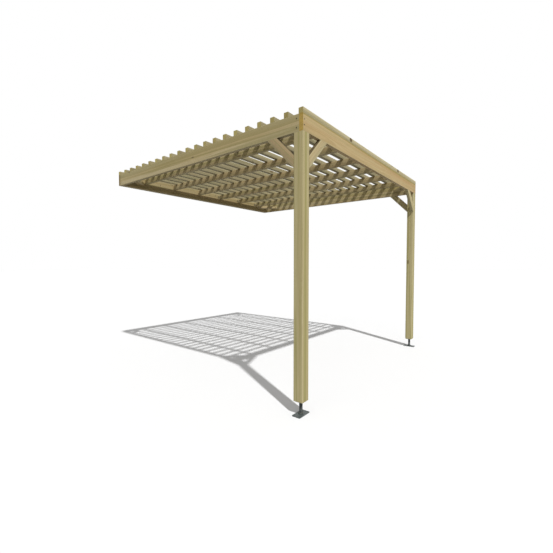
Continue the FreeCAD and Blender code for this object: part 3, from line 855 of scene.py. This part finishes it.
def frame_screw_points():
    """Places and directions of the screws at the frame's corners and in the post heads."""
    left, right = [corner.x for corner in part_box("front_beam")]
    for low, high in solid_boxes("frame_screws"):
        head = (low + high) / 2
        if high.x - low.x > high.y - low.y:
            head.x, inward = (left, X_AXIS) if head.x < 0 else (right, -X_AXIS)
        else:
            head.y, inward = (FRONT, Y_AXIS) if head.y < 0 else (WALL, -Y_AXIS)
        yield head, facing(inward)


def brace_screw_points(width):
    """Places and directions of the screws in the braces' pockets."""
    seat, reach = 40.5 * MM, width * math.sqrt(2)
    for name in BRACES:
        along, away = brace_legs(name)
        for run, square in ((along, away), (away, along)):
            yield brace_corner(name) + run * (BRACE_LEG - reach / 2) + square * seat, facing(-square)


def bracket_corners():
    """Inner corner, inward direction and direction along the rafter for each bracket."""
    for name in RAFTERS:
        x = middle(name).x
        inward = -math.copysign(1, x)
        face = x + inward * BOARD / 2
        for seat, along in ((FRONT_INNER, 1), (REAR_INNER, -1)):
            yield Vector((face, seat, BEAM_TOP - RAFTER_SIZE.z / 2)), inward, along


def bracket_screw_points(sheet):
    """Places and directions of the screws in the brackets."""
    offset, spread = 24.0 * MM, 10.0 * MM
    for corner, inward, along in bracket_corners():
        for lift in (-spread, spread):
            yield corner + Vector((inward * offset, along * sheet, lift)), facing(-along * Y_AXIS)
            yield corner + Vector((inward * sheet, along * offset, lift)), facing(-inward * X_AXIS)


def bush_screw_points():
    """Places and directions of the screws below the bushes' flanges."""
    for low, high in solid_boxes("bush_screws"):
        yield Vector((*(low + high).xy / 2, low.z)), facing(Z_AXIS)


class PERGOLA_OT_brackets(bpy.types.Operator):
    """Make the bent angles at the rafter ends."""

    bl_idname = "pergola.brackets"
    bl_label = "Brackets"

    def execute(self, context):
        fixings = context.scene.pergola_fixings
        # Quarter turns from the first corner to the one between these two directions
        quarter = {(1, 1): 0, (-1, 1): 1, (-1, -1): 2, (1, -1): 3}
        points = [(corner, Matrix.Rotation(quarter[inward, along] * math.pi / 2, 3, "Z").to_quaternion())
                  for corner, inward, along in bracket_corners()]
        low, high = next(solid_boxes("rafter_brackets"))
        values = {"Leg": fixings.bracket_leg, "Height": high.z - low.z, "Sheet": fixings.bracket_sheet,
                  "Bend": 2.5 * MM, "Material": FINISHES["bracket"]}
        piece = grow("rafter_angles", bracket_tree(), points, values)
        settle(piece, "frame", "zinc_steel", ["rafter_brackets"])
        return {"FINISHED"}


# Feet

def bevelled_copy(node, name, edge, material):
    """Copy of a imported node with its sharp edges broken."""
    shape = merged_copy(node)
    bmesh.ops.dissolve_limit(shape, angle_limit=math.radians(0.5), verts=shape.verts, edges=shape.edges)
    mark_sharp(shape)
    piece = object_from(shape, name)
    bevel = piece.modifiers.new("Edges", "BEVEL")
    bevel.width = edge
    bevel.segments = 2
    bevel.limit_method = "ANGLE"
    bevel.angle_limit = SMOOTH_ANGLE
    bevel.harden_normals = True
    baked(piece, bevel).data.materials.append(material)
    return piece


class PERGOLA_OT_feet(bpy.types.Operator):
    """Make the screw feet: plates, washers, rings, bushes and threaded stems."""

    bl_idname = "pergola.feet"
    bl_label = "Feet"

    def execute(self, context):
        foot = context.scene.pergola_foot
        tree = thread_tree()
        for side in SIDES:
            pieces = (("base_plate", f"{side}_base", "foot_steel", "coat", foot.edge),
                      ("thrust_washer", f"{side}_base", "zinc_steel", "zinc", foot.edge / 4),
                      ("retaining_ring", f"{side}_stem", "zinc_steel", "zinc", foot.edge / 4),
                      ("foot_bush", "frame", "zinc_steel", "zinc", foot.edge / 2))
            for part, body, slot, finish, edge in pieces:
                node = f"{side}_{part}"
                piece = bevelled_copy(node, node + "_steel", edge, FINISHES[finish])
                settle(piece, body, slot, [node])
            self.make_stem(side, foot, tree)
        return {"FINISHED"}

    def make_stem(self, side, foot, tree):
        """Shank with flats below, and a cut thread above it."""
        node = side + "_foot_stem"
        low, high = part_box(node)
        shank_length, rows_per_turn = 38.0 * MM, 10
        thread_low = low.z + shank_length
        shape = merged_copy(node)
        everything = shape.verts[:] + shape.edges[:] + shape.faces[:]
        cut = bmesh.ops.bisect_plane(shape, geom=everything, plane_co=(0, 0, thread_low), plane_no=Z_AXIS,
                                     clear_outer=True)
        rim = [item for item in cut["geom_cut"] if isinstance(item, bmesh.types.BMEdge)]
        bmesh.ops.edgenet_fill(shape, edges=rim)
        bmesh.ops.recalc_face_normals(shape, faces=shape.faces)
        mark_sharp(shape)
        shank = object_from(shape, side + "_stem_steel")
        shank.data.materials.append(FINISHES["stem"])
        length = high.z - thread_low
        centre = Vector(((low.x + high.x) / 2, (low.y + high.y) / 2, thread_low + length / 2))
        values = {"Radius": (high.x - low.x) / 2, "Length": length, "Pitch": foot.pitch,
                  "Groove": foot.thread_depth, "Rows": int(length / foot.pitch * rows_per_turn),
                  "Material": FINISHES["stem"]}
        thread = grow(side + "_stem_thread", tree, [(centre, facing(DOWN))], values)
        for piece in (shank, thread):
            settle(piece, side + "_stem", "foot_steel", [node])


# Stage

def seen_ray(tree):
    """Socket that is 1 for what the camera or a shiny surface sees."""
    path = add(tree, "ShaderNodeLightPath")
    return add(tree, "ShaderNodeMath", [path.outputs["Is Camera Ray"], path.outputs["Is Glossy Ray"]], "MAXIMUM")


class PERGOLA_OT_stage(bpy.types.Operator):
    """Make the floor, the light and the camera."""

    bl_idname = "pergola.stage"
    bl_label = "Stage"

    def execute(self, context):
        stage = context.scene.pergola_stage
        scene = context.scene
        scene.view_settings.view_transform = "Standard"
        self.make_floor()
        self.make_light(scene, stage)
        self.make_camera(scene)
        return {"FINISHED"}

    def make_floor(self):
        """Wide pale floor that takes the object's shadow, laid in two flat halves."""
        material, tree, _ = new_material("pale_floor")
        tree.nodes.clear()
        lit, seen = (0.22, 0.22, 0.22, 1), (0.81, 0.81, 0.81, 1)
        tone = add(tree, "ShaderNodeMix", {0: seen_ray(tree), 6: lit, 7: seen}, data_type="RGBA")
        paint = add(tree, "ShaderNodeBsdfDiffuse", {"Color": tone})
        add(tree, "ShaderNodeOutputMaterial", {"Surface": paint})
        reach, level, foot, steps = 60.0, 0.4, 1.1, 10
        slope = [level + (foot - level) * step / steps for step in range(steps + 1)]
        for side, sign in SIDES.items():
            shape = bmesh.new()
            rows = [[shape.verts.new((sign * x, y, 0)) for y in (-reach, reach)] for x in [0.0, *slope, reach]]
            for (near_a, near_b), (far_a, far_b) in zip(rows, rows[1:]):
                shape.faces.new((near_a, far_a, far_b, near_b))
            bmesh.ops.recalc_face_normals(shape, faces=shape.faces)
            floor = object_from(shape, side + "_floor")
            floor.data.materials.append(material)
            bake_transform(floor)

    def make_light(self, scene, stage):
        """Key light from the front left, a broad light from the left, even fill and a white backdrop."""
        lamps = (("key", stage.key, stage.softness, Vector((0.506, 1.0, -1.536))),
                 ("side", stage.side, math.radians(60), Vector((1.0, 0.25, -0.5))))
        for name, strength, angle, travel in lamps:
            data = bpy.data.lights.new(name, "SUN")
            data.energy = strength
            data.angle = angle
            placed(name, data).rotation_euler = travel.to_track_quat("-Z", "Y").to_euler()
        world = bpy.data.worlds.new("studio")
        world.use_nodes = True
        tree = world.node_tree
        tree.nodes.clear()
        fill = add(tree, "ShaderNodeBackground", {"Color": (1, 1, 1, 1), "Strength": stage.fill})
        white = add(tree, "ShaderNodeBackground", {"Color": (1, 1, 1, 1), "Strength": 1.0})
        mixed = add(tree, "ShaderNodeMixShader", [seen_ray(tree), fill, white])
        add(tree, "ShaderNodeOutputWorld", {"Surface": mixed})
        scene.world = world

    def make_camera(self, scene):
        """Camera at the photograph's place and angle."""
        yaw, pitch = math.radians(38.498), math.radians(-2.177)
        ahead = Vector((math.cos(pitch) * math.cos(yaw), math.cos(pitch) * math.sin(yaw), math.sin(pitch)))
        data = bpy.data.cameras.new("camera")
        data.sensor_width = 36.0
        data.lens = 21.453
        camera = placed("camera", data)
        camera.location = (-3.6652, -2.9366, 1.2429)
        camera.rotation_euler = ahead.to_track_quat("-Z", "Y").to_euler()
        scene.camera = camera


class PERGOLA_PT_panel(bpy.types.Panel):
    """Buttons for the pergola's pieces and their settings."""

    bl_label = "Pergola"
    bl_idname = "PERGOLA_PT_panel"
    bl_space_type = "VIEW_3D"
    bl_region_type = "UI"
    bl_category = "Pergola"

    def draw(self, context):
        for operator in OPERATORS:
            self.layout.operator(operator.bl_idname)
        for group in SETTINGS:
            settings = getattr(context.scene, group)
            for name in settings.__annotations__:
                self.layout.prop(settings, name)


SETTINGS = {"pergola_timber": PergolaTimberSettings, "pergola_fixings": PergolaFixingSettings,
            "pergola_foot": PergolaFootSettings, "pergola_stage": PergolaStageSettings}
OPERATORS = (PERGOLA_OT_posts, PERGOLA_OT_beams, PERGOLA_OT_rafters, PERGOLA_OT_slats, PERGOLA_OT_braces,
             PERGOLA_OT_screws, PERGOLA_OT_brackets, PERGOLA_OT_feet, PERGOLA_OT_stage)


def register():
    """Register the settings, the operators and the panel."""
    for group, kind in SETTINGS.items():
        bpy.utils.register_class(kind)
        setattr(bpy.types.Scene, group, bpy.props.PointerProperty(type=kind))
    for kind in OPERATORS + (PERGOLA_PT_panel,):
        bpy.utils.register_class(kind)


def unregister():
    """Undo what register did."""
    for kind in reversed(OPERATORS + (PERGOLA_PT_panel,)):
        bpy.utils.unregister_class(kind)
    for group, kind in SETTINGS.items():
        delattr(bpy.types.Scene, group)
        bpy.utils.unregister_class(kind)


def main():
    """Build every piece in order."""
    register()
    make_finishes()
    for operator in OPERATORS:
        group, name = operator.bl_idname.split(".")
        getattr(getattr(bpy.ops, group), name)()


if __name__ == "__main__":
    main()
